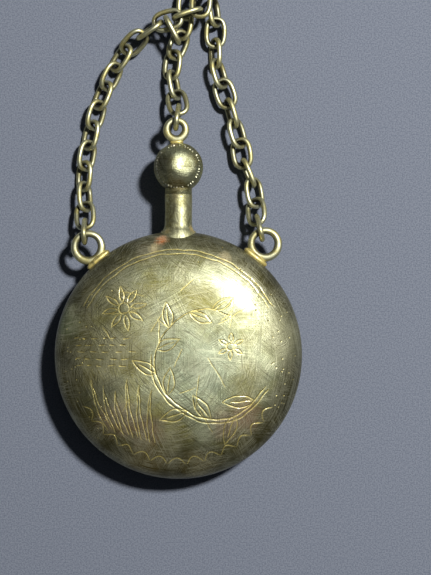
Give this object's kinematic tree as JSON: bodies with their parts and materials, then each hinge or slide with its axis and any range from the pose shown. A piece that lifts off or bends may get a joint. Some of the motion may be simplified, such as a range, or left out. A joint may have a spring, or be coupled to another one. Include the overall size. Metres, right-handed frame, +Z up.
{
  "type": "pendant flask",
  "caption": "Round two-domed metal pendant flask lying on its back, with a tube neck, pull-out ball stopper, lug rings and oval-link chain strands.",
  "frame": {"origin": "centre of the small flat that the flask lies on, under the middle of the back dome", "axes": "+Z up out of the front dome, +Y along the neck towards the stopper and chain, +X to the right seen from the front"},
  "size_m": [0.05, 0.1146, 0.0156],
  "materials": {
    "silver": "tarnished warm silver, scribed, with fine scratches",
    "chain": "tarnished silver wire, bright where it rubs",
    "solder": "yellow hard solder, cast surface"
  },
  "bodies": {
    "flask": {"front_dome": "silver", "back_dome": "silver", "neck_tube": "silver", "left_lug_ring": "chain", "right_lug_ring": "chain", "left_lug_solder": "solder", "right_lug_solder": "solder"},
    "stopper": {"stopper_ball_cap": "silver", "stopper_ball_base": "silver", "stopper_plug": "silver", "stopper_ring": "chain", "stopper_ring_solder": "solder"},
    "left_link_01": {"left_link_01": "chain"},
    "left_link_02": {"left_link_02": "chain"},
    "left_link_03": {"left_link_03": "chain"},
    "left_link_04": {"left_link_04": "chain"},
    "left_link_05": {"left_link_05": "chain"},
    "left_link_06": {"left_link_06": "chain"},
    "left_link_07": {"left_link_07": "chain"},
    "left_link_08": {"left_link_08": "chain"},
    "left_link_09": {"left_link_09": "chain"},
    "left_link_10": {"left_link_10": "chain"},
    "left_link_11": {"left_link_11": "chain"},
    "left_link_12": {"left_link_12": "chain"},
    "left_link_13": {"left_link_13": "chain"},
    "left_link_14": {"left_link_14": "chain"},
    "left_link_15": {"left_link_15": "chain"},
    "left_link_16": {"left_link_16": "chain"},
    "left_link_17": {"left_link_17": "chain"},
    "tether_link_01": {"tether_link_01": "chain"},
    "tether_link_02": {"tether_link_02": "chain"},
    "tether_link_03": {"tether_link_03": "chain"},
    "tether_link_04": {"tether_link_04": "chain"},
    "tether_link_05": {"tether_link_05": "chain"},
    "tether_link_06": {"tether_link_06": "chain"},
    "tether_link_07": {"tether_link_07": "chain"},
    "right_link_01": {"right_link_01": "chain"},
    "right_link_02": {"right_link_02": "chain"},
    "right_link_03": {"right_link_03": "chain"},
    "right_link_04": {"right_link_04": "chain"},
    "right_link_05": {"right_link_05": "chain"},
    "right_link_06": {"right_link_06": "chain"},
    "right_link_07": {"right_link_07": "chain"},
    "right_link_08": {"right_link_08": "chain"},
    "right_link_09": {"right_link_09": "chain"},
    "right_link_10": {"right_link_10": "chain"},
    "right_link_11": {"right_link_11": "chain"},
    "right_link_12": {"right_link_12": "chain"},
    "loose_link": {"loose_link": "chain"},
    "hang_ring": {"hang_ring": "chain"}
  },
  "joints": [
    {"name": "stopper_pull", "type": "slide", "parent": "flask", "child": "stopper", "axis": [0, 1, 0], "range_m": [0, 0.007]},
    {"name": "left_link_01_swing", "type": "hinge", "parent": "flask", "child": "left_link_01", "pos_m": [-0.01915, 0.02393, 0.00826], "axis": [0.9995, 0.0315, 0], "range_deg": [0, 12]},
    {"name": "left_link_02_swing", "type": "hinge", "parent": "left_link_01", "child": "left_link_02", "pos_m": [-0.01908, 0.02616, 0.00459], "axis": [0.9971, 0.076, 0], "range_deg": [0, 12]},
    {"name": "left_link_03_swing", "type": "hinge", "parent": "left_link_02", "child": "left_link_03", "pos_m": [-0.01933, 0.03026, 0.00293], "axis": [0.998, 0.0636, 0], "range_deg": [0, 12]},
    {"name": "left_link_04_swing", "type": "hinge", "parent": "left_link_03", "child": "left_link_04", "pos_m": [-0.01967, 0.03446, 0.0021], "axis": [0.9974, -0.0719, 0], "range_deg": [0, 12]},
    {"name": "left_link_05_swing", "type": "hinge", "parent": "left_link_04", "child": "left_link_05", "pos_m": [-0.01941, 0.03874, 0.0021], "axis": [0.985, -0.1728, 0], "range_deg": [0, 12]},
    {"name": "left_link_06_swing", "type": "hinge", "parent": "left_link_05", "child": "left_link_06", "pos_m": [-0.01865, 0.04295, 0.00207], "axis": [0.9784, -0.2067, 0], "range_deg": [0, 12]},
    {"name": "left_link_07_swing", "type": "hinge", "parent": "left_link_06", "child": "left_link_07", "pos_m": [-0.01777, 0.04714, 0.002], "axis": [0.9601, -0.2796, 0], "range_deg": [0, 12]},
    {"name": "left_link_08_swing", "type": "hinge", "parent": "left_link_07", "child": "left_link_08", "pos_m": [-0.01656, 0.05125, 0.00203], "axis": [0.9305, -0.3663, 0], "range_deg": [0, 12]},
    {"name": "left_link_09_swing", "type": "hinge", "parent": "left_link_08", "child": "left_link_09", "pos_m": [-0.01497, 0.05522, 0.00193], "axis": [0.8995, -0.437, 0], "range_deg": [0, 12]},
    {"name": "left_link_10_swing", "type": "hinge", "parent": "left_link_09", "child": "left_link_10", "pos_m": [-0.01313, 0.0591, 0.002], "axis": [0.8314, -0.5557, 0], "range_deg": [0, 12]},
    {"name": "left_link_11_swing", "type": "hinge", "parent": "left_link_10", "child": "left_link_11", "pos_m": [-0.01076, 0.06262, 0.00256], "axis": [0.6918, -0.7221, 0], "range_deg": [0, 12]},
    {"name": "left_link_12_swing", "type": "hinge", "parent": "left_link_11", "child": "left_link_12", "pos_m": [-0.00777, 0.06529, 0.00416], "axis": [0.5241, -0.8516, 0], "range_deg": [0, 12]},
    {"name": "left_link_13_swing", "type": "hinge", "parent": "left_link_12", "child": "left_link_13", "pos_m": [-0.00429, 0.06753, 0.00542], "axis": [0.2423, -0.9702, 0], "range_deg": [0, 12]},
    {"name": "left_link_14_swing", "type": "hinge", "parent": "left_link_13", "child": "left_link_14", "pos_m": [-0.00025, 0.06856, 0.00649], "axis": [0.3105, -0.9506, 0], "range_deg": [0, 12]},
    {"name": "left_link_15_swing", "type": "hinge", "parent": "left_link_14", "child": "left_link_15", "pos_m": [0.00439, 0.06948, 0.00635], "axis": [0.9974, -0.0718, 0], "range_deg": [0, 12]},
    {"name": "left_link_16_swing", "type": "hinge", "parent": "left_link_15", "child": "left_link_16", "pos_m": [0.00468, 0.07371, 0.00563], "axis": [0.9775, -0.2111, 0], "range_deg": [0, 12]},
    {"name": "left_link_17_swing", "type": "hinge", "parent": "left_link_16", "child": "left_link_17", "pos_m": [0.00551, 0.07765, 0.00416], "axis": [0.9246, -0.3808, 0], "range_deg": [0, 12]},
    {"name": "tether_link_01_swing", "type": "hinge", "parent": "stopper", "child": "tether_link_01", "pos_m": [-0.00046, 0.04696, 0.00818], "axis": [0.9935, -0.1136, 0], "range_deg": [-12, 0]},
    {"name": "tether_link_02_swing", "type": "hinge", "parent": "tether_link_01", "child": "tether_link_02", "pos_m": [0.00009, 0.04956, 0.00476], "axis": [0.9745, 0.2242, 0], "range_deg": [-12, 0]},
    {"name": "tether_link_03_swing", "type": "hinge", "parent": "tether_link_02", "child": "tether_link_03", "pos_m": [-0.00069, 0.05328, 0.0026], "axis": [0.9826, 0.1858, 0], "range_deg": [-12, 0]},
    {"name": "tether_link_04_swing", "type": "hinge", "parent": "tether_link_03", "child": "tether_link_04", "pos_m": [-0.00164, 0.05745, 0.00201], "axis": [0.9934, -0.1143, 0], "range_deg": [-12, 0]},
    {"name": "tether_link_05_swing", "type": "hinge", "parent": "tether_link_04", "child": "tether_link_05", "pos_m": [-0.00118, 0.0617, 0.00177], "axis": [0.9229, -0.3851, 0], "range_deg": [-12, 0]},
    {"name": "tether_link_06_swing", "type": "hinge", "parent": "tether_link_05", "child": "tether_link_06", "pos_m": [0.00068, 0.0656, 0.00199], "axis": [0.9862, -0.1656, 0], "range_deg": [-12, 0]},
    {"name": "tether_link_07_swing", "type": "hinge", "parent": "tether_link_06", "child": "tether_link_07", "pos_m": [0.00134, 0.06983, 0.00177], "axis": [0.9976, -0.0687, 0], "range_deg": [-12, 0]},
    {"name": "right_link_01_swing", "type": "hinge", "parent": "flask", "child": "right_link_01", "pos_m": [0.01665, 0.02447, 0.00819], "axis": [0.9771, 0.2126, 0], "range_deg": [-12, 0]},
    {"name": "right_link_02_swing", "type": "hinge", "parent": "right_link_01", "child": "right_link_02", "pos_m": [0.01608, 0.02706, 0.00482], "axis": [0.9948, 0.1021, 0], "range_deg": [-12, 0]},
    {"name": "right_link_03_swing", "type": "hinge", "parent": "right_link_02", "child": "right_link_03", "pos_m": [0.01574, 0.03105, 0.00304], "axis": [0.987, 0.1609, 0], "range_deg": [-12, 0]},
    {"name": "right_link_04_swing", "type": "hinge", "parent": "right_link_03", "child": "right_link_04", "pos_m": [0.01513, 0.03527, 0.0026], "axis": [0.9257, 0.3783, 0], "range_deg": [-12, 0]},
    {"name": "right_link_05_swing", "type": "hinge", "parent": "right_link_04", "child": "right_link_05", "pos_m": [0.01323, 0.03916, 0.00268], "axis": [0.9881, 0.1536, 0], "range_deg": [-12, 0]},
    {"name": "right_link_06_swing", "type": "hinge", "parent": "right_link_05", "child": "right_link_06", "pos_m": [0.01259, 0.04339, 0.00244], "axis": [0.9622, 0.2723, 0], "range_deg": [-12, 0]},
    {"name": "right_link_07_swing", "type": "hinge", "parent": "right_link_06", "child": "right_link_07", "pos_m": [0.01136, 0.04749, 0.00241], "axis": [0.959, 0.2835, 0], "range_deg": [-12, 0]},
    {"name": "right_link_08_swing", "type": "hinge", "parent": "right_link_07", "child": "right_link_08", "pos_m": [0.01016, 0.0516, 0.00245], "axis": [0.9441, 0.3297, 0], "range_deg": [-12, 0]},
    {"name": "right_link_09_swing", "type": "hinge", "parent": "right_link_08", "child": "right_link_09", "pos_m": [0.00874, 0.05564, 0.00242], "axis": [0.9612, 0.2757, 0], "range_deg": [-12, 0]},
    {"name": "right_link_10_swing", "type": "hinge", "parent": "right_link_09", "child": "right_link_10", "pos_m": [0.0075, 0.05975, 0.00236], "axis": [0.9995, 0.0325, 0], "range_deg": [-12, 0]},
    {"name": "right_link_11_swing", "type": "hinge", "parent": "right_link_10", "child": "right_link_11", "pos_m": [0.0074, 0.06403, 0.00219], "axis": [0.9994, -0.0352, 0], "range_deg": [-12, 0]},
    {"name": "right_link_12_swing", "type": "hinge", "parent": "right_link_11", "child": "right_link_12", "pos_m": [0.00757, 0.06831, 0.0024], "axis": [0.9924, 0.1229, 0], "range_deg": [-12, 0]},
    {"name": "loose_link_swing", "type": "hinge", "parent": "left_link_13", "child": "loose_link", "pos_m": [-0.0015, 0.06635, 0.00595], "axis": [0.9478, 0.2361, 0.2145], "range_deg": [-6, 6]},
    {"name": "hang_ring_swing", "type": "hinge", "parent": "left_link_17", "child": "hang_ring", "pos_m": [0.00702, 0.08127, 0.00285], "axis": [0.9192, -0.3938, 0], "range_deg": [-6, 6]}
  ]
}
